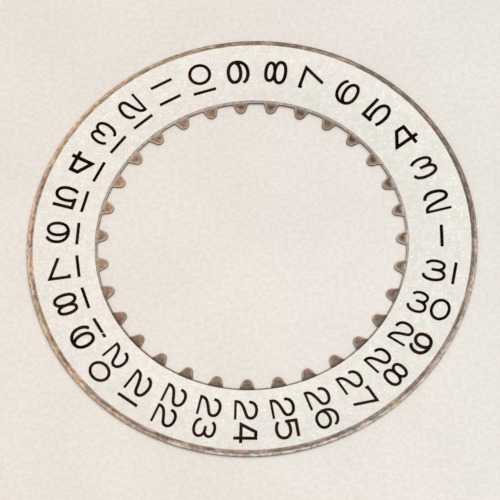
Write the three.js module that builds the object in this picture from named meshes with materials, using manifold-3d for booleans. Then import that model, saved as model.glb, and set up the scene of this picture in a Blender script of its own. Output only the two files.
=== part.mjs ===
// Calendar date ring of a wrist watch, in millimetres.
// The ring lies on z = 0 with its axis on Z, and the figure 1 lies on +X.
// Seen from above, the dates count up anticlockwise and read outwards along the radius.

import * as THREE from 'three';
import { mergeVertices } from 'three/addons/utils/BufferGeometryUtils.js';
import Module from 'manifold-3d';

const wasm = await Module();
wasm.setup();

// Ring: overall size, and one date and one tooth for each day
const ringDiameter = 24;
const ringThickness = 0.2;
const dayCount = 31;

// Bare rim outside the dates: a short steep step, then a gentle slope to a rounded edge
const rimWidth = 0.32;
const rimStepWidth = 0.1;
const rimStepDrop = 0.04;
const rimSlopeDrop = 0.012;
const rimEdgeRadius = 0.05;

// Land that carries the dates, its lacquer, and the step down to the web
const faceWidth = 3.31;
const coatThickness = 0.02;
const webStepWidth = 0.07;
const webStepDrop = 0.06;

// Web and teeth, which are thinner than the land. The ledge is the web between the step and the teeth.
const ledgeWidth = 0.065;
const toothHeight = 0.545;
const toothTipRadius = 0.28;
const toothFlankDegrees = 23;
const toothRootFillet = 0.08;
const toothChamferWidth = 0.055;
const toothChamferDrop = 0.035;

// Printed figures. A figure alone is wide and bold, one beside a 1 is narrower, and two full figures
// side by side are the narrowest. dateInset runs from the edge of the lacquer to the middle of a date.
const figureHeight = 1.25;
const inkThickness = 0.015;
const dateInset = 1.57;
const wideFigure = { width: 1.39, stroke: 0.185 };
const mediumFigure = { width: 1.26, stroke: 0.175 };
const narrowFigure = { width: 1.08, stroke: 0.165 };
const narrowGap = 0.155;
const onesGap = 0.345;
const doubleOneGap = 0.92;

// Fineness of the round stretches
const ringSteps = 124;
const edgeSteps = 3;
const tipSteps = 7;
const filletSteps = 3;
const rootSteps = 2;
const curveSteps = 5;

// Radii and heights that follow from the sizes above
const ringRadius = ringDiameter / 2;
const faceOuterRadius = ringRadius - rimWidth;
const faceInnerRadius = faceOuterRadius - faceWidth;
const ledgeRadius = faceInnerRadius - webStepWidth;
const rootRadius = ledgeRadius - ledgeWidth;
const tipRadius = rootRadius - toothHeight;
const landHeight = ringThickness - coatThickness;
const webThickness = landHeight - webStepDrop;
const rimStepHeight = landHeight - rimStepDrop;
const rimHeight = rimStepHeight - rimSlopeDrop;
const dateRadius = faceOuterRadius - dateInset;
const dayAngle = 2 * Math.PI / dayCount;

const brass = new THREE.MeshStandardMaterial({ color: 0xb08f6d, metalness: 0.9, roughness: 0.4 });
const lacquer = new THREE.MeshStandardMaterial({ color: 0xebe6dc, metalness: 0.2, roughness: 0.45 });
const ink = new THREE.MeshStandardMaterial({ color: 0x1b100f, metalness: 0, roughness: 0.55 });

// Points on an arc from one angle to another, both ends included
function arcPoints(x, y, radius, fromAngle, toAngle, steps) {
  const points = [];
  for (let i = 0; i <= steps; i += 1) {
    const angle = fromAngle + (toAngle - fromAngle) * i / steps;
    points.push(new THREE.Vector2(x + radius * Math.cos(angle), y + radius * Math.sin(angle)));
  }
  return points;
}

// Closed ring turned from a section of (radius, height) points, with its axis on Z
function turnedRing(section) {
  const closed = [...section, section[0]];
  return new THREE.LatheGeometry(closed, ringSteps).rotateX(Math.PI / 2);
}

function toSolid(geometry) {
  const bare = geometry.clone();
  bare.deleteAttribute('normal');
  bare.deleteAttribute('uv');
  const merged = mergeVertices(bare);
  const vertProperties = new Float32Array(merged.attributes.position.array);
  const triVerts = new Uint32Array(merged.index.array);
  return new wasm.Manifold(new wasm.Mesh({ numProp: 3, vertProperties, triVerts }));
}

function toGeometry(solid) {
  const { vertProperties, triVerts } = solid.getMesh();
  const geometry = new THREE.BufferGeometry();
  geometry.setAttribute('position', new THREE.BufferAttribute(vertProperties, 3));
  geometry.setIndex(new THREE.BufferAttribute(triVerts, 1));
  geometry.computeVertexNormals();
  return geometry;
}

// Section of the land and the rim. It starts under the web step and runs round by the outer edge.
function landSection() {
  const edgeCentreRadius = ringRadius - rimEdgeRadius;
  const edgeCentreHeight = rimHeight - rimEdgeRadius;
  return [
    new THREE.Vector2(ledgeRadius, 0),
    new THREE.Vector2(ringRadius, 0),
    ...arcPoints(edgeCentreRadius, edgeCentreHeight, rimEdgeRadius, 0, Math.PI / 2, edgeSteps),
    new THREE.Vector2(faceOuterRadius + rimStepWidth, rimStepHeight),
    new THREE.Vector2(faceOuterRadius, landHeight),
    new THREE.Vector2(faceInnerRadius, landHeight),
    new THREE.Vector2(ledgeRadius, webThickness),
  ];
}

// Inner outline of the web. Each tooth has a round tip, two straight flanks that spread towards the root,
// and a fillet on each side that runs out into the root circle.
function toothedOutline() {
  const flankAngle = THREE.MathUtils.degToRad(toothFlankDegrees);
  const flankNormal = Math.PI / 2 + flankAngle;
  const tipCentreRadius = tipRadius + toothTipRadius;
  const filletCentreRadius = rootRadius - toothRootFillet;
  const offFlank = toothTipRadius + toothRootFillet - tipCentreRadius * Math.sin(flankAngle);
  const alongFlank = Math.sqrt(filletCentreRadius ** 2 - offFlank ** 2);
  const filletAngle = flankAngle + Math.atan2(offFlank, alongFlank);
  const points = [];
  for (let day = 0; day < dayCount; day += 1) {
    const middle = day * dayAngle;
    const before = middle - filletAngle;
    const after = middle + filletAngle;
    const nextBefore = middle + dayAngle - filletAngle;
    const tipX = tipCentreRadius * Math.cos(middle);
    const tipY = tipCentreRadius * Math.sin(middle);
    points.push(
      ...arcPoints(filletCentreRadius * Math.cos(before), filletCentreRadius * Math.sin(before),
        toothRootFillet, before, middle + Math.PI - flankNormal, filletSteps),
      ...arcPoints(tipX, tipY, toothTipRadius,
        middle + 2 * Math.PI - flankNormal, middle + flankNormal, tipSteps),
      ...arcPoints(filletCentreRadius * Math.cos(after), filletCentreRadius * Math.sin(after),
        toothRootFillet, middle + flankNormal - Math.PI, after, filletSteps).slice(0, -1),
      ...arcPoints(0, 0, rootRadius, after, nextBefore, rootSteps).slice(0, -1),
    );
  }
  return points;
}

// Toothed web with chamfered upper edges. It reaches under the land, and what lies below z = 0 is cut off.
function toothedWeb() {
  const outline = new THREE.Shape(arcPoints(0, 0, faceInnerRadius, 0, 2 * Math.PI, ringSteps).slice(0, -1));
  outline.holes.push(new THREE.Path(toothedOutline()));
  const plate = new THREE.ExtrudeGeometry(outline, {
    depth: webThickness - toothChamferDrop,
    bevelEnabled: true,
    bevelSegments: 1,
    bevelThickness: toothChamferDrop,
    bevelSize: toothChamferWidth,
    bevelOffset: -toothChamferWidth,
  });
  const floor = new THREE.BoxGeometry(ringDiameter, ringDiameter, ringThickness);
  floor.translate(0, 0, -ringThickness / 2);
  return toSolid(plate).subtract(toSolid(floor));
}

function ringBlank() {
  return toGeometry(toSolid(turnedRing(landSection())).add(toothedWeb()));
}

function silverFace() {
  return turnedRing([
    new THREE.Vector2(faceInnerRadius, landHeight),
    new THREE.Vector2(faceOuterRadius, landHeight),
    new THREE.Vector2(faceOuterRadius, ringThickness),
    new THREE.Vector2(faceInnerRadius, ringThickness),
  ]);
}

// Centre lines of the figures, as shares of the box that the centre lines fill: x to the right, y up.
// A stroke is a start point followed by lines [x, y] and curves [x1, y1, x2, y2, x, y], and no stroke
// crosses itself. A 9 is a 6 turned upside down, and a 1 is a plain bar.
const sixShares = [
  [[1, 0.81], [0.9, 0.94, 0.73, 1, 0.55, 1], [0.2, 1, 0, 0.77, 0, 0.46], [0, 0.15, 0.23, 0, 0.52, 0]],
  [[0.52, 0], [0.8, 0, 1, 0.12, 1, 0.3], [1, 0.5, 0.8, 0.63, 0.55, 0.63], [0.33, 0.63, 0.13, 0.57, 0.05, 0.44]],
];
const figureShares = {
  0: [[[1, 0.5], [1, 0.78, 0.78, 1, 0.5, 1], [0.22, 1, 0, 0.78, 0, 0.5],
    [0, 0.22, 0.22, 0, 0.5, 0], [0.78, 0, 1, 0.22, 1, 0.5]]],
  1: [[[0.5, 0], [0.5, 1]]],
  2: [[[0.03, 0.7], [0.06, 0.88, 0.25, 1, 0.52, 1], [0.82, 1, 1, 0.89, 1, 0.72],
    [1, 0.52, 0.76, 0.51, 0.5, 0.42], [0.19, 0.31, 0, 0.24, 0, 0]], [[0, 0], [1, 0]]],
  3: [[[0.1, 0.87], [0.2, 0.96, 0.34, 1, 0.5, 1], [0.76, 1, 0.93, 0.91, 0.93, 0.78],
    [0.93, 0.63, 0.78, 0.54, 0.6, 0.54], [0.42, 0.54]],
  [[0.6, 0.54], [0.82, 0.54, 1, 0.44, 1, 0.28], [1, 0.11, 0.78, 0, 0.5, 0], [0.25, 0, 0.05, 0.08, 0, 0.21]]],
  4: [[[0.81, 0], [0.81, 1]], [[0.81, 1], [0.45, 1], [0.03, 0.28], [1, 0.28]]],
  5: [[[0.95, 1], [0.04, 1], [0.02, 0.55]],
    [[0.08, 0.6], [0.2, 0.65, 0.35, 0.67, 0.5, 0.67], [0.8, 0.67, 1, 0.54, 1, 0.34],
      [1, 0.13, 0.78, 0, 0.5, 0], [0.33, 0, 0.17, 0.03, 0.05, 0.1]]],
  6: sixShares,
  7: [[[0, 0.95], [0, 1]], [[0, 1], [0.96, 1], [0.48, 0]]],
  8: [[[0.93, 0.78], [0.93, 0.93, 0.74, 1, 0.5, 1], [0.26, 1, 0.07, 0.93, 0.07, 0.78],
    [0.07, 0.63, 0.26, 0.55, 0.5, 0.55], [0.74, 0.55, 0.93, 0.63, 0.93, 0.78]],
  [[1, 0.28], [1, 0.45, 0.8, 0.55, 0.5, 0.55], [0.2, 0.55, 0, 0.45, 0, 0.28],
    [0, 0.1, 0.2, 0, 0.5, 0], [0.8, 0, 1, 0.1, 1, 0.28]]],
  9: sixShares.map((line) => line.map((step) => step.map((share) => 1 - share))),
};

// A 4 and an 8 are a little wider than their neighbours
const figureWidthShares = { 4: 1.06, 8: 1.02 };

// Points along the centre line of one stroke, in a box of the given width that stands on the origin
function centreLine(lineShares, width, stroke) {
  const half = stroke / 2;
  const [start, ...steps] = lineShares.map((step) => step.map((share, i) => (i % 2 === 0
    ? half + share * (width - stroke)
    : half + share * (figureHeight - stroke))));
  const path = new THREE.Path();
  path.moveTo(...start);
  for (const step of steps) {
    if (step.length === 2) path.lineTo(...step);
    else path.bezierCurveTo(...step);
  }
  return path.getPoints(curveSteps);
}

// Outline of a pen stroke: mitred at its corners, and run on by half its width past both ends.
// A line that comes back to its start gives an outline with a hole.
function strokeOutline(points, stroke) {
  const half = stroke / 2;
  const closed = points[0].equals(points.at(-1));
  const line = closed ? points.slice(0, -1) : points;
  const left = [];
  const right = [];
  line.forEach((point, i) => {
    const first = !closed && i === 0;
    const last = !closed && i === line.length - 1;
    const before = point.clone().sub(line.at(i - 1)).normalize();
    const after = line[(i + 1) % line.length].clone().sub(point).normalize();
    if (first) before.copy(after);
    if (last) after.copy(before);
    const along = before.clone().add(after).normalize();
    const side = new THREE.Vector2(-along.y, along.x).multiplyScalar(half / along.dot(before));
    const middle = point.clone();
    if (first) middle.addScaledVector(along, -half);
    if (last) middle.addScaledVector(along, half);
    left.push(middle.clone().add(side));
    right.push(middle.clone().sub(side));
  });
  if (!closed) return new THREE.Shape([...right, ...left.reverse()]);
  const outline = new THREE.Shape(right);
  outline.holes.push(new THREE.Path(left));
  return outline;
}

// One figure on its base line, with its left edge at the origin: its strokes joined and trimmed to its box
function figureGeometry(figure, width, stroke) {
  const strokes = figureShares[figure].map((lineShares) => {
    const outline = strokeOutline(centreLine(lineShares, width, stroke), stroke);
    return toSolid(new THREE.ExtrudeGeometry(outline, { depth: inkThickness, bevelEnabled: false }));
  });
  const box = new THREE.BoxGeometry(width, figureHeight, inkThickness);
  box.translate(width / 2, figureHeight / 2, inkThickness / 2);
  return toGeometry(strokes.reduce((all, solid) => all.add(solid)).intersect(toSolid(box)));
}

// A date is one or two figures, centred on the date circle and turned round to its day
function dateGroup(date) {
  const figures = [...String(date)].map(Number);
  const single = figures.length === 1;
  const ones = figures.filter((figure) => figure === 1).length;
  const beside = ones > 0 ? mediumFigure : narrowFigure;
  const { width: fullWidth, stroke } = single ? wideFigure : beside;
  const gap = [narrowGap, onesGap, doubleOneGap][ones];
  const widths = figures.map((figure) => (figure === 1 ? stroke : fullWidth * (figureWidthShares[figure] ?? 1)));
  const names = single ? [`date_${date}`] : [`date_${date}_tens`, `date_${date}_units`];
  const dateWidth = widths.reduce((sum, width) => sum + width) + gap * (figures.length - 1);
  const turned = new THREE.Group();
  let left = dateRadius - dateWidth / 2;
  figures.forEach((figure, i) => {
    const mesh = new THREE.Mesh(figureGeometry(figure, widths[i], stroke), ink);
    mesh.name = names[i];
    mesh.position.set(left, -figureHeight / 2, ringThickness);
    turned.add(mesh);
    left += widths[i] + gap;
  });
  turned.rotation.z = (date - 1) * dayAngle;
  return turned;
}

const group = new THREE.Group();

const blankMesh = new THREE.Mesh(ringBlank(), brass);
blankMesh.name = 'ring_blank';
group.add(blankMesh);

const faceMesh = new THREE.Mesh(silverFace(), lacquer);
faceMesh.name = 'silver_face';
group.add(faceMesh);

for (let date = 1; date <= dayCount; date += 1) group.add(dateGroup(date));

export default group;
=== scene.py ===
"""Date ring of a wrist watch, lying face up on pale paper.

All lengths are in metres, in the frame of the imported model: the ring's axis is Z, its underside is z = 0
and the date 1 lies on +X. The script makes the ring from the metal up, then the paper, the light and the
camera.
"""

import math

import bmesh
import bpy
from mathutils import Matrix, Vector
from mathutils.geometry import interpolate_bezier


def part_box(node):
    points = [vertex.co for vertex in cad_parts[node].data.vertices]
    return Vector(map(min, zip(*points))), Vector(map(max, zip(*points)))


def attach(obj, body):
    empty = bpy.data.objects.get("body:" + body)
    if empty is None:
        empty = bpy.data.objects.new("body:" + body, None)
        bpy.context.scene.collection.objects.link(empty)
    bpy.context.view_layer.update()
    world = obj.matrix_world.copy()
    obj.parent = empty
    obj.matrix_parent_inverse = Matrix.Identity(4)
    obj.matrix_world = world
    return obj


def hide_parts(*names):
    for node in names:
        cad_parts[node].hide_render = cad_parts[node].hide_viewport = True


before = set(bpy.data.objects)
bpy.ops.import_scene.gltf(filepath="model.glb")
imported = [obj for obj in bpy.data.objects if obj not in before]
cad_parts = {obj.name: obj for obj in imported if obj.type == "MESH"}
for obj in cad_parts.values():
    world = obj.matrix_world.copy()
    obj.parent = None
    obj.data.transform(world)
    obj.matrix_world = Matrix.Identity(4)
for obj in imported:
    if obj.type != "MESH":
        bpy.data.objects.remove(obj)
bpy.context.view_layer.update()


# Blank: one stamping of thin brass. A flat land carries the dates, a bare rim slopes away outside it, and
# a thinner web inside it carries 31 rounded teeth, one for each day. Stamping has rounded the upper edges.
MM = 0.001
DAYS = 31
DAY_ANGLE = math.tau / DAYS
AXIS = Vector((0, 0, 1))
SAME_PLACE = 1e-7
PLACE_DIGITS = 8

land_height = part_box("ring_blank")[1].z
ring_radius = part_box("ring_blank")[1].x
face_outer_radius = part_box("silver_face")[1].x
rim_step_width = 0.1 * MM
rim_step_drop = 0.04 * MM
rim_slope_drop = 0.012 * MM
rim_edge = 0.085 * MM
face_width = 3.31 * MM
web_step_width = 0.07 * MM
web_step_drop = 0.06 * MM
ledge_width = 0.065 * MM
tooth_height = 0.545 * MM
tip_round = 0.28 * MM
flank_slope = math.radians(23)
root_round = 0.08 * MM
tooth_wear = 0.11 * MM
root_wear = 0.055 * MM
edge_drop = 0.085 * MM
land_edge = 0.008 * MM
step_foot = 0.02 * MM
under_edge = 0.012 * MM
TIP_STEPS = 9
ROUND_STEPS = 6
ROOT_STEPS = 3
EDGE_STEPS = 6
CORNER_STEPS = 4

face_inner_radius = face_outer_radius - face_width
ledge_radius = face_inner_radius - web_step_width
root_radius = ledge_radius - ledge_width
tip_radius = root_radius - tooth_height
web_height = land_height - web_step_drop
rim_step_height = land_height - rim_step_drop
rim_height = rim_step_height - rim_slope_drop
steps_per_half_day = TIP_STEPS + 1 + ROUND_STEPS + ROOT_STEPS


def swing(mesh, point, centre, angle, steps):
    """Draws an arc by turning a point about an upright axis, and returns the arc's far end."""
    made = bmesh.ops.spin(mesh, geom=[point], cent=centre, axis=AXIS, angle=angle, steps=steps)
    return next(item for item in made["geom_last"] if isinstance(item, bmesh.types.BMVert))


def round_corners(mesh, corners, radius):
    """Rounds corners of a section that is drawn with points and lines."""
    bmesh.ops.bevel(
        mesh,
        geom=corners,
        offset=radius,
        offset_type="OFFSET",
        segments=CORNER_STEPS,
        profile=0.5,
        affect="VERTICES",
        material=-1,
        clamp_overlap=False,
    )


def turn_section(mesh, section, angle, steps):
    """Turns a section round the ring's axis."""
    bmesh.ops.spin(mesh, geom=section, cent=(0, 0, 0), axis=AXIS, angle=angle, steps=steps)


def everything(mesh):
    """All the points, edges and faces of a mesh."""
    return list(mesh.verts) + list(mesh.edges) + list(mesh.faces)


def repeat_all_days(mesh):
    """Copies one day's share of a mesh round the axis, and welds the copies into one ring."""
    bmesh.ops.spin(
        mesh,
        geom=everything(mesh),
        cent=(0, 0, 0),
        axis=AXIS,
        angle=math.tau - DAY_ANGLE,
        steps=DAYS - 1,
        use_duplicate=True,
    )
    bmesh.ops.remove_doubles(mesh, verts=list(mesh.verts), dist=SAME_PLACE)
    bmesh.ops.recalc_face_normals(mesh, faces=list(mesh.faces))
    for face in mesh.faces:
        face.smooth = True


def half_tooth(mesh, worn, height):
    """Draws half a tooth's outline at a height, from the tip to the middle of the gap.

    It is a round tip, a straight flank, a fillet and the root circle, and it lies back by a share of the
    wear on the edge. Returns its edges and its two ends.
    """
    tip_arc = tip_round - worn * tooth_wear
    root_arc = root_round + worn * root_wear
    tip_centre = Vector((tip_radius + tip_round, 0, height))
    along_flank = Vector((math.cos(flank_slope), math.sin(flank_slope), 0))
    off_flank = AXIS.cross(along_flank)

    # The fillet's centre lies beside the flank, where the fillet just touches the root circle
    beside = tip_centre + (tip_arc + root_arc) * off_flank
    back = beside.dot(along_flank)
    root_reach = root_radius + worn * root_wear - root_arc
    run = math.sqrt(back**2 - beside.xy.length_squared + root_reach**2) - back
    root_centre = beside + run * along_flank
    root_angle = math.atan2(root_centre.y, root_centre.x)

    round_turn = math.pi / 2 - flank_slope
    earlier = set(mesh.edges)
    tip = mesh.verts.new(tip_centre - Vector((tip_arc, 0, 0)))
    flank = swing(mesh, tip, tip_centre, -round_turn, TIP_STEPS)
    flank_end = mesh.verts.new(root_centre - root_arc * off_flank)
    mesh.edges.new((flank, flank_end))
    root = swing(mesh, flank_end, root_centre, round_turn + root_angle, ROUND_STEPS)
    gap = swing(mesh, root, (0, 0, height), DAY_ANGLE / 2 - root_angle, ROOT_STEPS)
    return [edge for edge in mesh.edges if edge not in earlier], tip, gap


def half_web(mesh, outline, tip, gap):
    """Fills the web between half a tooth's outline and the foot of the step up to the land."""
    height = tip.co.z
    earlier = set(mesh.edges)
    foot = mesh.verts.new((ledge_radius, 0, height))
    far_foot = swing(mesh, foot, (0, 0, height), DAY_ANGLE / 2, steps_per_half_day)
    mesh.edges.new((tip, foot))
    mesh.edges.new((gap, far_foot))
    bmesh.ops.edgeloop_fill(mesh, edges=outline + [edge for edge in mesh.edges if edge not in earlier])


blank = bmesh.new()

# Half a tooth with the web behind it: the wall, the worn edge, the underside and the top
levels = [half_tooth(blank, under_edge / tooth_wear, 0), half_tooth(blank, 0, under_edge)]
for step in range(EDGE_STEPS + 1):
    slope = math.pi / 2 * step / EDGE_STEPS
    levels.append(half_tooth(blank, 1 - math.cos(slope), web_height - edge_drop * (1 - math.sin(slope))))
for (below, _, _), (above, _, _) in zip(levels, levels[1:]):
    bmesh.ops.bridge_loops(blank, edges=below + above)
half_web(blank, *levels[0])
half_web(blank, *levels[-1])

# Section of the land and the rim, with its corners rounded, turned by half a day
section_points = (
    (ledge_radius, web_height, 0),
    (face_inner_radius, land_height, land_edge),
    (face_outer_radius, land_height, land_edge),
    (face_outer_radius + rim_step_width, rim_step_height, step_foot),
    (ring_radius, rim_height, rim_edge),
    (ring_radius, 0, under_edge),
    (ledge_radius, 0, 0),
)
web_points = set(blank.verts)
section = [blank.verts.new((radius, 0, height)) for radius, height, _ in section_points]
for pair in zip(section, section[1:]):
    blank.edges.new(pair)
for corner, (_, _, rounding) in zip(section, section_points):
    if rounding:
        round_corners(blank, [corner], rounding)
section = [point for point in blank.verts if point not in web_points]
section += [edge for edge in blank.edges if all(end not in web_points for end in edge.verts)]
turn_section(blank, section, DAY_ANGLE / 2, steps_per_half_day)

# The other half of the day, and all the other days
bmesh.ops.mirror(blank, geom=everything(blank), axis="Y", merge_dist=0)
repeat_all_days(blank)


def shader_node(material, kind, inputs, **options):
    """Adds a shader node to a material. Each of its inputs takes a plain value or another node's output."""
    made = material.node_tree.nodes.new("ShaderNode" + kind)
    for option, value in options.items():
        setattr(made, option, value)
    for name, value in inputs.items():
        if isinstance(value, bpy.types.NodeSocket):
            material.node_tree.links.new(value, made.inputs[name])
        else:
            made.inputs[name].default_value = value
    return made


def new_material(name, uniform):
    """A new material with the given uniform values on its shader. Returns it, its shader and its place."""
    material = bpy.data.materials.new(name)
    material.use_nodes = True
    shader = material.node_tree.nodes["Principled BSDF"]
    for socket, value in uniform.items():
        shader.inputs[socket].default_value = value
    return material, shader, shader_node(material, "TexCoord", {}).outputs["Object"]


def finish_with(material, shader, colour, roughness, height, relief):
    """Gives a shader its colour, its roughness and a bump as deep as the relief."""
    bump = shader_node(material, "Bump", {"Height": height, "Distance": relief})
    for socket, value in (
        ("Base Color", colour),
        ("Roughness", roughness),
        ("Normal", bump.outputs["Normal"]),
    ):
        material.node_tree.links.new(value, shader.inputs[socket])


def mottle(material, place, size, detail=3.0):
    """Cloudy pattern round 0.5, with blotches of about the given size."""
    noise = shader_node(material, "TexNoise", {"Vector": place, "Scale": 1 / size, "Detail": detail})
    return noise.outputs["Fac"]


def graded(material, value, start, end, first=0.0, last=1.0):
    """Eases from first to last while a value goes from start to end."""
    ends = {"Value": value, "From Min": start, "From Max": end, "To Min": first, "To Max": last}
    return shader_node(material, "MapRange", ends, interpolation_type="SMOOTHSTEP").outputs["Result"]


def computed(material, operation, first, second=0.0):
    """Works out a sum with one or two values."""
    return shader_node(material, "Math", {0: first, 1: second}, operation=operation).outputs[0]


def towards(material, place, side):
    """How far a place or a direction reaches towards one side."""
    dot = shader_node(material, "VectorMath", {0: place, 1: side}, operation="DOT_PRODUCT")
    return dot.outputs["Value"]


def tinted(material, share, under, over, blend="MIX"):
    """Lays one colour over another, as far as the share says."""
    inputs = {0: share, 6: under, 7: over}
    return shader_node(material, "Mix", inputs, data_type="RGBA", blend_type=blend).outputs[2]


def shaded(material, colour, factor, share=1.0):
    """Multiplies a colour by a factor or by another colour, as far as the share says."""
    return tinted(material, share, colour, factor, "MULTIPLY")


olive_brass = (0.49, 0.365, 0.245, 1)
copper_brass = (0.56, 0.372, 0.285, 1)
grey_tarnish = (0.26, 0.195, 0.155, 1)
dark_core_shade = (0.12, 0.068, 0.044, 1)
copper_core_shade = (0.27, 0.142, 0.088, 1)
golden_turning = (0.63, 0.455, 0.315, 1)
grey_turning = (0.45, 0.37, 0.325, 1)
rubbed_brass_sheen = (0.8, 0.58, 0.41, 1)
rubbed_grey_sheen = (0.85, 0.75, 0.67, 1)
dull_edge_shade = (0.3, 0.225, 0.185, 1)
gold_highlight = (0.97, 0.82, 0.67, 1)
pale_highlight = (0.88, 0.82, 0.76, 1)
reflected_grey = (0.57, 0.5, 0.465, 1)
step_grime_and_shade = (0.07, 0.042, 0.028, 1)
grey_wall_shade = (0.2, 0.135, 0.105, 1)
brown_wall_shade = (0.3, 0.19, 0.125, 1)
corner_shade = (0.13, 0.088, 0.068, 1)
pink_metal = (1.03, 0.965, 0.99, 1)
green_metal = (0.98, 1.03, 0.95, 1)
edge_tint = (0.6, 0.45, 0.35, 1)

# Directions from the axis towards the sides where the metal has aged in its own way, and where the painted
# shade is deeper on the teeth and on the rim
grey_side = (0.94, -0.34, 0)
copper_side = (-0.34, -0.94, 0)
dark_side = (0.8, 0.6, 0)
dull_sheen_side = (0.5, 0.87, 0)

foot_radius = face_outer_radius + rim_step_width
foot_shade_reach = 0.055 * MM
core_radius = tip_radius + 0.45 * MM
core_reach = 0.32 * MM
core_shift = 0.08 * MM
corner_reach = 0.2 * MM
tooth_reach = 0.34 * MM
gap_reach = 1.4 * tooth_reach
hue_patch = 1.6 * MM
tarnish_patch = 1.3 * MM
rubbed_patch = 1.7 * MM
reflection_patch = 0.8 * MM
blotch = 0.16 * MM
turning_mark = 0.045 * MM
rim_spot = 0.16 * MM
rim_patch = 0.45 * MM
metal_patch = 0.75 * MM
glint = 0.06 * MM
brass_relief = 0.003 * MM
rubbed_gloss = 0.12
under_stain_share = 0.4
under_tint_share = 0.5

# How a face lies where each finish starts, and where it is full: 1 faces up, 0 sideways and -1 down. On the
# rim the painted highlight on the crest and the painted shade on the walls lie further round the edge, as
# if it faced up by the rim's lift more.
RUBBED_SHEEN_FACING = (0.99, 0.93)
CREST_TOP_FACING = (0.96, 0.9)
CREST_FOOT_FACING = (0.72, 0.82)
SHADED_WALL_FACING = (0.8, 0.62)
UNDERSIDE_FACING = (-0.9, -0.98)
RIM_LIFT = 0.3

brass, brass_shader, place = new_material("tarnished_brass", {"Metallic": 1.0, "Specular Tint": edge_tint})
level_place = shader_node(brass, "VectorMath", {0: place, 1: (1, 1, 0)}, operation="MULTIPLY").outputs[0]
radius = shader_node(brass, "VectorMath", {0: level_place}, operation="LENGTH").outputs["Value"]
sides = shader_node(brass, "SeparateXYZ", {0: place})
across_x, across_y = sides.outputs["X"], sides.outputs["Y"]
normal = shader_node(brass, "NewGeometry", {}).outputs["Normal"]
upward = shader_node(brass, "SeparateXYZ", {0: normal}).outputs["Z"]
blotches = mottle(brass, place, blotch, 4.0)


def along_ring(stretch):
    """A place in which a pattern keeps its size across the ring and is drawn out along it."""
    inputs = {0: level_place, "Scale": stretch}
    scaled = shader_node(brass, "VectorMath", inputs, operation="SCALE").outputs[0]
    across = shader_node(brass, "CombineXYZ", {"Z": radius}).outputs[0]
    return shader_node(brass, "VectorMath", {0: scaled, 1: across}, operation="ADD").outputs[0]


def product(first, second):
    """One value times another."""
    return computed(brass, "MULTIPLY", first, second)


def larger(first, second):
    """The larger of two values."""
    return computed(brass, "MAXIMUM", first, second)


def rest_of(share):
    """What a share leaves of the whole."""
    return computed(brass, "SUBTRACT", 1.0, share)


# Where a place lies on the blank: on the rim or the web, off a tooth's middle line, and on the near side
on_rim = graded(brass, radius, face_inner_radius, face_outer_radius)
off_rim = rest_of(on_rim)
bearing = computed(brass, "ARCTAN2", across_y, across_x)
off_tooth = product(computed(brass, "PINGPONG", bearing, DAY_ANGLE / 2), radius)
near_land = graded(brass, radius, root_radius + 0.3 * ledge_width, ledge_radius)
on_web = product(larger(near_land, graded(brass, off_tooth, tooth_reach, gap_reach)), off_rim)
near_side = graded(brass, across_y, 0, -0.6 * root_radius)

# Tarnish in olive and coppery patches, greyer towards the dates 30 and 31
greyness = graded(brass, towards(brass, place, grey_side), -ring_radius, 0.7 * ring_radius)
greyer = graded(brass, greyness, 0, 1, -0.1, 0.12)
tarnish = computed(brass, "ADD", mottle(brass, place, tarnish_patch), greyer)
redder = graded(brass, towards(brass, place, copper_side), -tip_radius, tip_radius, -0.12, 0.12)
hue = computed(brass, "ADD", mottle(brass, place, hue_patch), redder)
clean = tinted(brass, graded(brass, hue, 0.42, 0.58), olive_brass, copper_brass)
tarnished = tinted(brass, graded(brass, tarnish, 0.46, 0.6, 0.0, 0.45), clean, grey_tarnish)

# Painted shade: each tooth is darkest in its middle, as on a domed tooth, deeper with the tarnish, towards
# the far right and on the near side, and small blotches lie all over the metal
core_middle = computed(brass, "ADD", core_radius, product(near_side, core_shift))
off_core = computed(brass, "SUBTRACT", radius, core_middle)
core_place = shader_node(brass, "CombineXYZ", {"X": off_tooth, "Y": off_core}).outputs[0]
from_core = shader_node(brass, "VectorMath", {0: core_place}, operation="LENGTH").outputs["Value"]
core_shade = graded(brass, from_core, core_reach, 0.3 * core_reach)
darker = graded(brass, towards(brass, place, dark_side), 0, root_radius)
darkest = larger(product(darker, 0.25), product(near_side, 0.4))
core_shade_share = computed(brass, "ADD", graded(brass, tarnish, 0.36, 0.56, 0.45, 0.8), darkest)
core_shade_colour = tinted(brass, darker, copper_core_shade, dark_core_shade)
colour = tinted(brass, product(core_shade, core_shade_share), tarnished, core_shade_colour)
colour = shaded(brass, colour, graded(brass, blotches, 0.28, 0.72, 0.62, 1.28))

# Turning marks run round the rim, where the metal is golden in some patches and greyer in others
marks = mottle(brass, along_ring(0.03), turning_mark, 2.0)
turning = tinted(brass, graded(brass, tarnish, 0.44, 0.6), golden_turning, grey_turning)
turning = shaded(brass, turning, graded(brass, marks, 0.3, 0.7, 0.55, 1.35))
rubbing = graded(brass, mottle(brass, place, rubbed_patch), 0.35, 0.6, 0.35, 0.9)
colour = tinted(brass, product(rubbing, on_rim), colour, turning)

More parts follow.
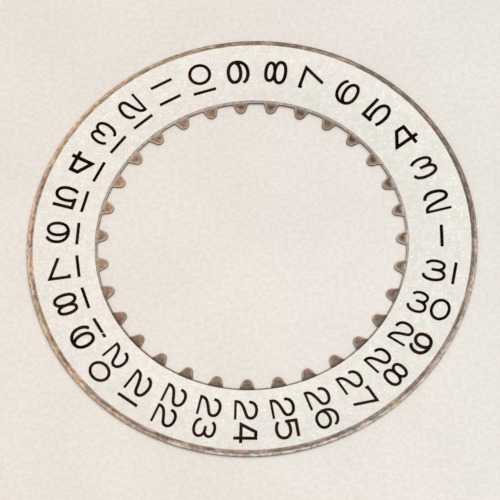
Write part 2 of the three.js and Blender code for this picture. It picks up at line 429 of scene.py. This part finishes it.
# Rubbed on the rounded edges, which are painted paler, partly wear and partly painted highlight. Towards
# the side of the dates 4 to 8 the edges and the rim are painted darker instead, as painted shade, and the
# rim's step isn't rubbed.
inside_foot = graded(brass, radius, foot_radius, foot_radius - step_foot)
off_step = rest_of(product(inside_foot, on_rim))
towards_dull_sheen = towards(brass, place, dull_sheen_side)
wear_and_sheen = graded(brass, towards_dull_sheen, 0.2 * ring_radius, 0.9 * ring_radius, 1.0, 0.1)
rubbed_sheen = tinted(brass, greyness, rubbed_brass_sheen, rubbed_grey_sheen)
rubbed_sheen = tinted(brass, wear_and_sheen, dull_edge_shade, rubbed_sheen)
rounded = product(graded(brass, upward, *RUBBED_SHEEN_FACING), graded(brass, blotches, 0.3, 0.6, 0.6, 1.0))
beside_edge = graded(brass, radius, ring_radius - 1.7 * rim_edge, ring_radius - rim_edge, 0.0, 0.7)
colour = tinted(brass, larger(product(rounded, off_step), beside_edge), colour, rubbed_sheen)
colour = shaded(brass, colour, graded(brass, product(on_rim, rest_of(wear_and_sheen)), 0, 1, 1.0, 0.8))

# The crest of each rounded edge gets a painted highlight over the rubbed metal, but on the near side only
# half as much on the teeth
edge_lift = computed(brass, "ADD", upward, product(on_rim, RIM_LIFT))
crest_highlight = product(graded(brass, edge_lift, *CREST_TOP_FACING), graded(brass, edge_lift, *CREST_FOOT_FACING))
crest_highlight = product(product(crest_highlight, wear_and_sheen), product(off_step, graded(brass, greyness, 0, 1, 0.55, 0.4)))
near_teeth = product(near_side, off_rim)
crest_highlight = product(crest_highlight, graded(brass, near_teeth, 0, 1, 1.0, 0.5))
painted_highlight = tinted(brass, greyness, gold_highlight, pale_highlight)
colour = tinted(brass, crest_highlight, colour, painted_highlight)

# Painted reflection in dull grey on the web beside the land and between the teeth, least on the near side,
# and on the near side of the rim's step
grey_reflection = product(on_web, graded(brass, mottle(brass, place, reflection_patch), 0.4, 0.6, 0.55, 1.0))
grey_reflection = product(grey_reflection, graded(brass, near_side, 0, 1, 1.0, 0.15))
step_reflection = product(graded(brass, radius, foot_radius, face_outer_radius), on_rim)
step_reflection = product(step_reflection, graded(brass, across_y, -0.4 * ring_radius, -ring_radius, 0.0, 0.4))
colour = tinted(brass, larger(grey_reflection, step_reflection), colour, reflected_grey)

# Pale and dark spots on the rim and the web, stains on the rim, faint pink and green, and small painted
# glints
spots = graded(brass, mottle(brass, along_ring(0.7), rim_spot, 2.0), 0.3, 0.7, 0.7, 1.32)
stains = graded(brass, mottle(brass, along_ring(0.6), rim_patch), 0.35, 0.65, 0.78, 1.2)
colour = shaded(brass, colour, spots, larger(on_rim, product(on_web, 0.8)))
colour = shaded(brass, colour, stains, on_rim)
greener = graded(brass, mottle(brass, place, metal_patch), 0.35, 0.65)
metal_tint = tinted(brass, greener, pink_metal, green_metal)
colour = shaded(brass, colour, metal_tint)
painted_glints = graded(brass, mottle(brass, along_ring(0.25), glint, 1.0), 0.66, 0.84)
colour = tinted(brass, product(painted_glints, larger(near_land, on_rim)), colour, painted_highlight)

# Painted shade with some grime on the walls and along the foot of the rim's step, and painted shade on the
# near side from the root of the teeth to the step above them, where the teeth are painted a little darker
# too
colour = shaded(brass, colour, graded(brass, near_teeth, 0, 1, 1.0, 0.8))
near_corner_shade = product(near_teeth, graded(brass, radius, root_radius - corner_reach, ledge_radius))
near_corner_shade = product(near_corner_shade, graded(brass, off_tooth, tooth_reach, gap_reach, 1.0, 0.5))
colour = tinted(brass, near_corner_shade, colour, corner_shade)
# Painted shade with some grime along the foot of the rim's step, less where the rim is rubbed
from_foot = computed(brass, "ABSOLUTE", computed(brass, "SUBTRACT", radius, foot_radius))
foot_grime_and_shade = graded(brass, from_foot, foot_shade_reach, 0)
foot_grime_and_shade = product(foot_grime_and_shade, graded(brass, rubbing, 0.35, 0.9, 0.65, 0.25))
colour = tinted(brass, foot_grime_and_shade, colour, step_grime_and_shade)
# Painted shade with some dark tarnish on the walls, lighter on the rim towards the lit right side
lit_rim_wall = product(on_rim, graded(brass, across_x, 0, 0.7 * ring_radius))
wall_shade_and_grime = graded(brass, edge_lift, *SHADED_WALL_FACING, 0.0, 0.95)
wall_shade_and_grime = product(wall_shade_and_grime, graded(brass, lit_rim_wall, 0, 1, 1.0, 0.3))
colour = tinted(brass, wall_shade_and_grime, colour, tinted(brass, greyness, brown_wall_shade, grey_wall_shade))

# The underside is a flat turned face, tarnished and stained, and rubbed in patches where it slides
underside = graded(brass, upward, *UNDERSIDE_FACING)
under_face = tinted(brass, rubbing, tarnished, turning)
under_face = shaded(brass, under_face, stains, under_stain_share)
under_face = shaded(brass, under_face, metal_tint, under_tint_share)
colour = tinted(brass, underside, colour, under_face)

# Rubbed metal is glossier, and the turning marks stand out on the rim and the underside
roughness = graded(brass, blotches, 0.2, 0.8, 0.36, 0.54)
roughness = computed(brass, "SUBTRACT", roughness, product(rounded, rubbed_gloss))
height = computed(brass, "ADD", blotches, product(marks, larger(on_rim, underside)))
finish_with(brass, brass_shader, colour, roughness, height, brass_relief)


def in_order(mesh):
    """Sorts a mesh by place, so that the steps that follow give the same result each time."""
    for items, middle in (
        (mesh.verts, lambda point: point.co),
        (mesh.edges, lambda edge: edge.verts[0].co + edge.verts[1].co),
        (mesh.faces, lambda face: face.calc_center_median()),
    ):
        ranked = sorted(items, key=lambda item: middle(item).to_tuple(PLACE_DIGITS))
        for rank, item in enumerate(ranked):
            item.index = rank
        items.sort()


def in_scene(name, data):
    """Puts a mesh, a light or a camera into the scene."""
    made = bpy.data.objects.new(name, data)
    bpy.context.scene.collection.objects.link(made)
    return made


def new_piece(name, mesh, material):
    """Turns a bmesh into a finished piece of the ring with the given material, hung on the root body."""
    data = bpy.data.meshes.new(name)
    in_order(mesh)
    mesh.to_mesh(data)
    mesh.free()
    data.materials.append(material)
    piece = in_scene(name, data)
    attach(piece, "root")
    return piece


def true_flats(piece):
    """Weighs the shading by face area, so that flats next to rounded edges stay flat."""
    piece.modifiers.new("true flats", "WEIGHTED_NORMAL")


brass_blank = new_piece("brass_blank", blank, brass)
true_flats(brass_blank)
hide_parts("ring_blank")


# Lacquer: a silver-white coat sprayed on the land, about 0.02 mm thick. It ends in a thin rounded edge
# on both sides, and the sparkle of the metal flakes in it is painted on.
coat_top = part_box("silver_face")[1].z
coat_edge = 0.012 * MM

coat = bmesh.new()
coat_points = (
    (face_inner_radius, land_height),
    (face_inner_radius, coat_top),
    (face_outer_radius, coat_top),
    (face_outer_radius, land_height),
)
coat_section = [coat.verts.new((radius, 0, height)) for radius, height in coat_points]
for pair in zip(coat_section, coat_section[1:] + coat_section[:1]):
    coat.edges.new(pair)
round_corners(coat, coat_section[1:3], coat_edge)
turn_section(coat, everything(coat), DAY_ANGLE, 2 * steps_per_half_day)
repeat_all_days(coat)

lacquer_white = (0.83, 0.785, 0.71, 1)
warm_lacquer = (0.86, 0.78, 0.695, 1)
cool_lacquer = (0.79, 0.79, 0.72, 1)
pinkish = (1.02, 0.965, 1.015, 1)
greenish = (0.985, 1.035, 0.985, 1)
flake_sparkle = (1.0, 0.99, 0.96, 1)
shaded_side = (0.6, 0.8, 0)
tint_patch = 0.5 * MM
green_patch = 0.45 * MM
lacquer_grain = 0.11 * MM
lacquer_cloud = 0.34 * MM
flake_spacing = 0.17 * MM
lacquer_relief = 0.002 * MM
white_share = 0.4
ragged_share = 0.7
flake_tilt_share = 0.4

# Warm and cool patches, faint pink and green, a fine grain and clouds, and painted shade by the date 6
lacquer, lacquer_shader, place = new_material("silver_lacquer", {"Specular IOR Level": 0.4})
grain = mottle(lacquer, place, lacquer_grain, 2.0)
sides = shader_node(lacquer, "SeparateXYZ", {0: place})
cooler = graded(lacquer, sides.outputs["X"], -ring_radius, ring_radius, -0.12, 0.12)
tint = computed(lacquer, "ADD", mottle(lacquer, place, tint_patch), cooler)
colour = tinted(lacquer, graded(lacquer, tint, 0.32, 0.68), warm_lacquer, cool_lacquer)
greener = graded(lacquer, mottle(lacquer, place, green_patch), 0.32, 0.68)
colour = shaded(lacquer, colour, tinted(lacquer, greener, pinkish, greenish))
colour = tinted(lacquer, white_share, colour, lacquer_white)
colour = shaded(lacquer, colour, graded(lacquer, grain, 0.3, 0.7, 0.93, 1.05))
clouds = mottle(lacquer, place, lacquer_cloud, 1.0)
colour = shaded(lacquer, colour, graded(lacquer, clouds, 0.3, 0.7, 0.965, 1.035))
# Painted shade: darker towards the date 6, lighter away from it
shade_gradient = graded(lacquer, towards(lacquer, place, shaded_side), -ring_radius, ring_radius, 1.025, 0.985)
colour = shaded(lacquer, colour, shade_gradient)

# Painted sparkle: a few of the flakes are painted pale, each with a ragged outline
flakes = shader_node(lacquer, "TexVoronoi", {"Vector": place, "Scale": 1 / flake_spacing})
flake_draw = shader_node(lacquer, "SeparateXYZ", {0: flakes.outputs["Color"]}).outputs["X"]
rough_outline = computed(lacquer, "MULTIPLY", grain, ragged_share)
ragged = computed(lacquer, "ADD", flakes.outputs["Distance"], rough_outline)
lit = graded(lacquer, flake_draw, 0.7, 0.96)
sparkle = computed(lacquer, "MULTIPLY", lit, graded(lacquer, ragged, 0.92, 0.42, 0.0, 0.9))
colour = tinted(lacquer, sparkle, colour, flake_sparkle)
roughness = graded(lacquer, sparkle, 0, 1, 0.5, 0.3)
height = computed(lacquer, "ADD", grain, computed(lacquer, "MULTIPLY", flake_draw, flake_tilt_share))
finish_with(lacquer, lacquer_shader, colour, roughness, height, lacquer_relief)

lacquer_face = new_piece("lacquer_face", coat, lacquer)
true_flats(lacquer_face)
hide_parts("silver_face")


# Dates: 53 figures of black ink printed on the lacquer, drawn with a round pen in three widths. A figure
# alone is wide and bold, one beside a 1 is narrower, and two full figures side by side are the narrowest.
figure_height = 1.25 * MM
ink_thickness = 0.015 * MM
date_radius = face_outer_radius - 1.57 * MM
wide_pen = {"width": 1.39 * MM, "pen": 0.185 * MM}
medium_pen = {"width": 1.26 * MM, "pen": 0.175 * MM}
narrow_pen = {"width": 1.08 * MM, "pen": 0.165 * MM}
narrow_gap = 0.155 * MM
ones_gap = 0.345 * MM
double_one_gap = 0.92 * MM
ink_corner = 0.02 * MM
corner_room = 2.1 * ink_corner
CURVE_STEPS = 14
INK_CORNER_STEPS = 3
SHARP_CORNER = math.radians(35)
WALL_TILT = 0.5
SMALLEST_EDGE = 0.0015 * MM
TRIM_REACH = SAME_PLACE / 10

# Middle lines of the pen strokes, as shares of the box that they fill, x to the right and y up. A stroke is
# a start point followed by lines (x, y) and curves (x1, y1, x2, y2, x, y). A 9 is a 6 turned upside down.
SIX_SHARES = (
    ((1, 0.81), (0.9, 0.94, 0.73, 1, 0.55, 1), (0.2, 1, 0, 0.77, 0, 0.46), (0, 0.15, 0.23, 0, 0.52, 0)),
    ((0.52, 0), (0.8, 0, 1, 0.12, 1, 0.3), (1, 0.5, 0.8, 0.63, 0.55, 0.63),
     (0.33, 0.63, 0.13, 0.57, 0.05, 0.44)),
)
FIGURE_SHARES = {
    0: (((1, 0.5), (1, 0.78, 0.78, 1, 0.5, 1), (0.22, 1, 0, 0.78, 0, 0.5),
         (0, 0.22, 0.22, 0, 0.5, 0), (0.78, 0, 1, 0.22, 1, 0.5)),),
    1: (((0.5, 0), (0.5, 1)),),
    2: (((0.03, 0.7), (0.06, 0.88, 0.25, 1, 0.52, 1), (0.82, 1, 1, 0.89, 1, 0.72),
         (1, 0.52, 0.76, 0.51, 0.5, 0.42), (0.19, 0.31, 0, 0.24, 0, 0)),
        ((0, 0), (1, 0))),
    3: (((0.1, 0.87), (0.2, 0.96, 0.34, 1, 0.5, 1), (0.76, 1, 0.93, 0.91, 0.93, 0.78),
         (0.93, 0.63, 0.78, 0.54, 0.6, 0.54), (0.42, 0.54)),
        ((0.6, 0.54), (0.82, 0.54, 1, 0.44, 1, 0.28), (1, 0.11, 0.78, 0, 0.5, 0),
         (0.25, 0, 0.05, 0.08, 0, 0.21))),
    4: (((0.81, 0), (0.81, 1)), ((0.81, 1), (0.45, 1), (0.03, 0.28), (1, 0.28))),
    5: (((0.95, 1), (0.04, 1), (0.02, 0.55)),
        ((0.08, 0.6), (0.2, 0.65, 0.35, 0.67, 0.5, 0.67), (0.8, 0.67, 1, 0.54, 1, 0.34),
         (1, 0.13, 0.78, 0, 0.5, 0), (0.33, 0, 0.17, 0.03, 0.05, 0.1))),
    6: SIX_SHARES,
    7: (((0, 0.95), (0, 1)), ((0, 1), (0.96, 1), (0.48, 0))),
    8: (((0.93, 0.78), (0.93, 0.93, 0.74, 1, 0.5, 1), (0.26, 1, 0.07, 0.93, 0.07, 0.78),
         (0.07, 0.63, 0.26, 0.55, 0.5, 0.55), (0.74, 0.55, 0.93, 0.63, 0.93, 0.78)),
        ((1, 0.28), (1, 0.45, 0.8, 0.55, 0.5, 0.55), (0.2, 0.55, 0, 0.45, 0, 0.28),
         (0, 0.1, 0.2, 0, 0.5, 0), (0.8, 0, 1, 0.1, 1, 0.28))),
    9: tuple(tuple(tuple(1 - share for share in step) for step in stroke) for stroke in SIX_SHARES),
}
FIGURE_WIDTH_SHARES = {4: 1.06, 8: 1.02}
# How thick the pen is in each stroke, as a share of the width that goes with its date
PEN_SHARES = {
    0: (0.96,), 1: (0.92,), 2: (0.95, 0.76), 3: (0.9, 0.92), 4: (1.02, 1.02),
    5: (1, 1), 6: (0.95, 0.95), 7: (0.94, 0.94), 8: (0.97, 0.98), 9: (1.01, 1.01),
}
# Two figures came out heavier than the rest, and the first figure of the 19 has a scratch through it
HEAVY_SHARES = {"date_14_units": 1.1, "date_29_units": 1.09}
scratched_figure = "date_19_tens"
scratch_height = 1.04 * MM
scratch_width = 0.055 * MM
scratch_slant = math.radians(-30)


def pen_line(stroke_shares, width, pen):
    """Points along the middle of a pen stroke, in a box of the given width that stands on the origin."""

    def spot(share_x, share_y):
        return Vector((pen / 2 + share_x * (width - pen), pen / 2 + share_y * (figure_height - pen), 0))

    points = [spot(*stroke_shares[0])]
    for step in stroke_shares[1:]:
        if len(step) == 2:
            points.append(spot(*step))
        else:
            handles = [spot(*step[i : i + 2]) for i in (0, 2, 4)]
            points.extend(interpolate_bezier(points[-1], *handles, CURVE_STEPS)[1:])
    return points


def pen_stroke(line, width, pen):
    """Solid pen stroke: a band along a line, mitred at its corners and trimmed to the figure's box.

    The band runs on by half its width past both ends. A line that comes back to its start gives a closed
    band.
    """
    closed = (line[0] - line[-1]).length < SAME_PLACE
    if closed:
        line = line[:-1]
    band = bmesh.new()
    edge_points = []
    across = {}
    for i, point in enumerate(line):
        before = (point - line[i - 1]).normalized()
        after = (line[(i + 1) % len(line)] - point).normalized()
        if not closed and i == 0:
            before = after
            point = point - after * pen / 2
        if not closed and i == len(line) - 1:
            after = before
            point = point + before * pen / 2
        along = (before + after).normalized()
        side = Vector((-along.y, along.x, 0)) * (pen / 2 / along.dot(before))
        edge_point = band.verts.new(point + side)
        edge_points.append(edge_point)
        across[edge_point.co.to_tuple()] = side * 2
    pairs = zip(edge_points, edge_points[1:] + edge_points[:1] if closed else edge_points[1:])
    edges = [band.edges.new(pair) for pair in pairs]
    for item in bmesh.ops.extrude_edge_only(band, edges=edges)["geom"]:
        if isinstance(item, bmesh.types.BMVert):
            item.co -= across[item.co.to_tuple()]
    for corner, outward in (
        ((0, 0, 0), (-1, 0, 0)),
        ((0, 0, 0), (0, -1, 0)),
        ((width, figure_height, 0), (1, 0, 0)),
        ((width, figure_height, 0), (0, 1, 0)),
    ):
        bmesh.ops.bisect_plane(
            band,
            geom=everything(band),
            dist=TRIM_REACH,
            plane_co=corner,
            plane_no=outward,
            clear_outer=True,
        )
    raised = bmesh.ops.extrude_face_region(band, geom=list(band.faces))["geom"]
    bmesh.ops.translate(
        band,
        vec=(0, 0, ink_thickness),
        verts=[item for item in raised if isinstance(item, bmesh.types.BMVert)],
    )
    bmesh.ops.recalc_face_normals(band, faces=list(band.faces))
    return band


def solid_object(solid):
    """Puts a solid into the scene for a boolean, and frees it."""
    data = bpy.data.meshes.new("solid")
    in_order(solid)
    solid.to_mesh(data)
    solid.free()
    return in_scene("solid", data)


def combined(first, other, operation):
    """Joins two solids, or cuts the first by the other, with a boolean that uses both of them up."""
    kept = solid_object(first)
    used = solid_object(other)
    boolean = kept.modifiers.new("boolean", "BOOLEAN")
    boolean.operation = operation
    boolean.solver = "EXACT"
    boolean.object = used
    data = bpy.data.meshes.new_from_object(kept.evaluated_get(bpy.context.evaluated_depsgraph_get()))
    bpy.data.objects.remove(kept)
    bpy.data.objects.remove(used)
    result = bmesh.new()
    result.from_mesh(data)
    bpy.data.meshes.remove(data)
    return result


def rounded_figure(figure, width, pen):
    """One figure on its base line, with its left edge at the origin.

    Its strokes are joined, and the print's corners are rounded where they have room.
    """
    strokes = []
    for stroke_shares, pen_share in zip(FIGURE_SHARES[figure], PEN_SHARES[figure]):
        stroke_pen = pen * pen_share
        strokes.append(pen_stroke(pen_line(stroke_shares, width, stroke_pen), width, stroke_pen))
    solid = strokes[0] if len(strokes) == 1 else combined(*strokes, "UNION")
    in_order(solid)
    # Joining leaves some points almost in one place, and they become one
    bmesh.ops.remove_doubles(solid, verts=list(solid.verts), dist=SMALLEST_EDGE)
    bmesh.ops.dissolve_degenerate(solid, edges=list(solid.edges), dist=SMALLEST_EDGE)
    corners = []
    for edge in solid.edges:
        upright = all(abs(face.normal.z) < WALL_TILT for face in edge.link_faces)
        beside = [near for end in edge.verts for near in end.link_edges if near != edge]
        has_room = min(near.calc_length() for near in beside) > corner_room
        if upright and has_room and edge.calc_face_angle_signed(0) > SHARP_CORNER:
            corners.append(edge)
    bmesh.ops.bevel(
        solid,
        geom=corners,
        offset=ink_corner,
        offset_type="OFFSET",
        segments=INK_CORNER_STEPS,
        profile=0.5,
        affect="EDGES",
        material=-1,
        clamp_overlap=True,
    )
    return solid


def scratched(printed):
    """The figure with a scratch through it, down to the lacquer."""
    cutter = bmesh.new()
    bmesh.ops.create_cube(cutter, size=1)
    cutter.transform(
        Matrix.Translation((0, scratch_height, 0))
        @ Matrix.Rotation(scratch_slant, 4, "Z")
        @ Matrix.Diagonal((figure_height, scratch_width, figure_height, 1))
    )
    return combined(printed, cutter, "DIFFERENCE")


black_ink = (0.005, 0.0013, 0.001, 1)
thin_ink = (0.027, 0.011, 0.0075, 1)
ink_sheen = (1, 0.5, 0.4, 1)
thin_side = (-0.34, -0.94, 0)
ink_blotch = 0.12 * MM
thin_patch = 1.5 * MM
ink_relief = 0.0015 * MM

# Black, but thinner and browner in patches, most of all round the dates 22 and 23
matt_ink = {"Specular IOR Level": 0.05, "Specular Tint": ink_sheen}
ink, ink_shader, place = new_material("printed_ink", matt_ink)
patches = mottle(ink, place, ink_blotch)
thinner = graded(ink, towards(ink, place, thin_side), 0, date_radius, -0.06, 0.14)
thinness = computed(ink, "ADD", computed(ink, "ADD", patches, thinner), mottle(ink, place, thin_patch, 1.0))
colour = tinted(ink, graded(ink, thinness, 0.86, 1.2), black_ink, thin_ink)
finish_with(ink, ink_shader, colour, graded(ink, patches, 0.3, 0.7, 0.45, 0.65), patches, ink_relief)

for date in range(1, DAYS + 1):
    figures = [int(figure) for figure in str(date)]
    ones = figures.count(1)
    if len(figures) == 1:
        style = wide_pen
    elif ones:
        style = medium_pen
    else:
        style = narrow_pen
    pen = style["pen"]
    gap = (narrow_gap, ones_gap, double_one_gap)[ones]
    widths = [
        pen if figure == 1 else style["width"] * FIGURE_WIDTH_SHARES.get(figure, 1) for figure in figures
    ]
    names = [f"date_{date}"] if len(figures) == 1 else [f"date_{date}_tens", f"date_{date}_units"]
    left = date_radius - (sum(widths) + gap * (len(figures) - 1)) / 2
    turn = Matrix.Rotation((date - 1) * DAY_ANGLE, 4, "Z")
    for figure, width, name in zip(figures, widths, names):
        printed = rounded_figure(figure, width, pen * HEAVY_SHARES.get(name, 1))
        if name == scratched_figure:
            printed = scratched(printed)
        printed.transform(turn @ Matrix.Translation((left, -figure_height / 2, coat_top)))
        piece = new_piece(name.replace("date", "ink"), printed, ink)
        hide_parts(name)
        left += width + gap


# Paper: a pale sheet under the ring, with the faint mottling of its fibres. It isn't part of the ring.
# It is a little warmer on the left, and painted shade makes it a little darker towards the back.
paper_half = 1000 * MM
paper_gap = 0.002 * MM
warm_paper = (0.842, 0.775, 0.7, 1)
cool_paper = (0.818, 0.775, 0.722, 1)
paper_cloud = 6 * MM
paper_fibre = 0.24 * MM
paper_relief = 0.008 * MM
beside_ring = 1.3 * ring_radius

sheet = bmesh.new()
bmesh.ops.create_grid(sheet, x_segments=1, y_segments=1, size=paper_half)
bmesh.ops.translate(sheet, vec=(0, 0, -paper_gap), verts=list(sheet.verts))
pale_paper, paper_shader, place = new_material("pale_paper", {"Specular IOR Level": 0.2})
fibres = mottle(pale_paper, place, paper_fibre, 4.0)
clouds = graded(pale_paper, mottle(pale_paper, place, paper_cloud), 0.3, 0.7, 0.975, 1.018)
sides = shader_node(pale_paper, "SeparateXYZ", {0: place})
cooler = graded(pale_paper, sides.outputs["X"], -beside_ring, beside_ring)
colour = shaded(pale_paper, tinted(pale_paper, cooler, warm_paper, cool_paper), clouds)
# Painted shade: a little brighter in front, darker towards the back
shade_gradient = graded(pale_paper, sides.outputs["Y"], -ring_radius, beside_ring, 1.02, 0.97)
colour = shaded(pale_paper, colour, shade_gradient)
colour = shaded(pale_paper, colour, graded(pale_paper, fibres, 0.3, 0.7, 0.955, 1.035))
roughness = graded(pale_paper, fibres, 0.2, 0.8, 0.7, 0.9)
finish_with(pale_paper, paper_shader, colour, roughness, fibres, paper_relief)
paper_data = bpy.data.meshes.new("paper")
sheet.to_mesh(paper_data)
sheet.free()
paper_data.materials.append(pale_paper)
paper = in_scene("paper", paper_data)


# Light: a plain pale studio, a little brighter overhead and towards a window at the back, and one large
# soft lamp from the far right, which casts the short soft shadow that the ring has on its near left side.
horizon_light = 0.38
overhead_light = 0.78
window_light = 0.32
window_side = (-0.34, 0.94, 0.09)
window_edge = 0.2
window_middle = 0.95
lamp_reach = 400 * MM
lamp_size = 300 * MM
lamp_power = 0.75
lamp_turn = math.radians(48)
lamp_rise = math.radians(45)

world = bpy.data.worlds.new("studio")
world.use_nodes = True
direction = shader_node(world, "TexCoord", {}).outputs["Generated"]
rise = shader_node(world, "SeparateXYZ", {0: direction}).outputs["Z"]
background = world.node_tree.nodes["Background"]
background.inputs["Color"].default_value = (1, 1, 1, 1)
sky = graded(world, rise, 0, 1, horizon_light, overhead_light)
facing = towards(world, direction, window_side)
window = graded(world, facing, window_edge, window_middle, 0.0, window_light)
world.node_tree.links.new(computed(world, "ADD", sky, window), background.inputs["Strength"])
bpy.context.scene.world = world

lamp_data = bpy.data.lights.new("soft_lamp", "AREA")
lamp_data.shape = "DISK"
lamp_data.size = lamp_size
lamp_data.energy = lamp_power
lamp = in_scene("soft_lamp", lamp_data)
lamp.visible_glossy = False
lamp_place = lamp_reach * Vector((
    math.cos(lamp_rise) * math.cos(lamp_turn),
    math.cos(lamp_rise) * math.sin(lamp_turn),
    math.sin(lamp_rise),
))
lamp.matrix_world = Matrix.Translation(lamp_place) @ lamp_place.to_track_quat("Z", "Y").to_matrix().to_4x4()


# Camera: above the near side of the ring and turned a little to the right, at the photograph's angle.
# It is slid sideways by a fraction of a millimetre, so that the ring lies where it does in the photograph.
camera_rise = math.radians(66.94)
camera_turn = math.radians(5.55)
camera_roll = math.radians(-7.35)
camera_distance = 197.84 * MM
nearest_seen = 10 * MM
slide_right = -0.08 * MM
slide_up = -0.373 * MM
sensor_width_mm = 36
focal_length_mm = 267.9

backward = Vector((
    math.cos(camera_rise) * math.sin(camera_turn),
    -math.cos(camera_rise) * math.cos(camera_turn),
    math.sin(camera_rise),
))
level_right = Vector((math.cos(camera_turn), math.sin(camera_turn), 0))
right = Matrix.Rotation(camera_roll, 3, backward) @ level_right
up = backward.cross(right)
lens_place = Vector((0, 0, coat_top)) + right * slide_right + up * slide_up + backward * camera_distance
camera_data = bpy.data.cameras.new("camera")
camera_data.sensor_width = sensor_width_mm
camera_data.lens = focal_length_mm
camera_data.clip_start = nearest_seen
camera = in_scene("camera", camera_data)
camera.matrix_world = Matrix.Translation(lens_place) @ Matrix((right, up, backward)).transposed().to_4x4()
bpy.context.scene.camera = camera
bpy.context.scene.view_settings.view_transform = "Standard"
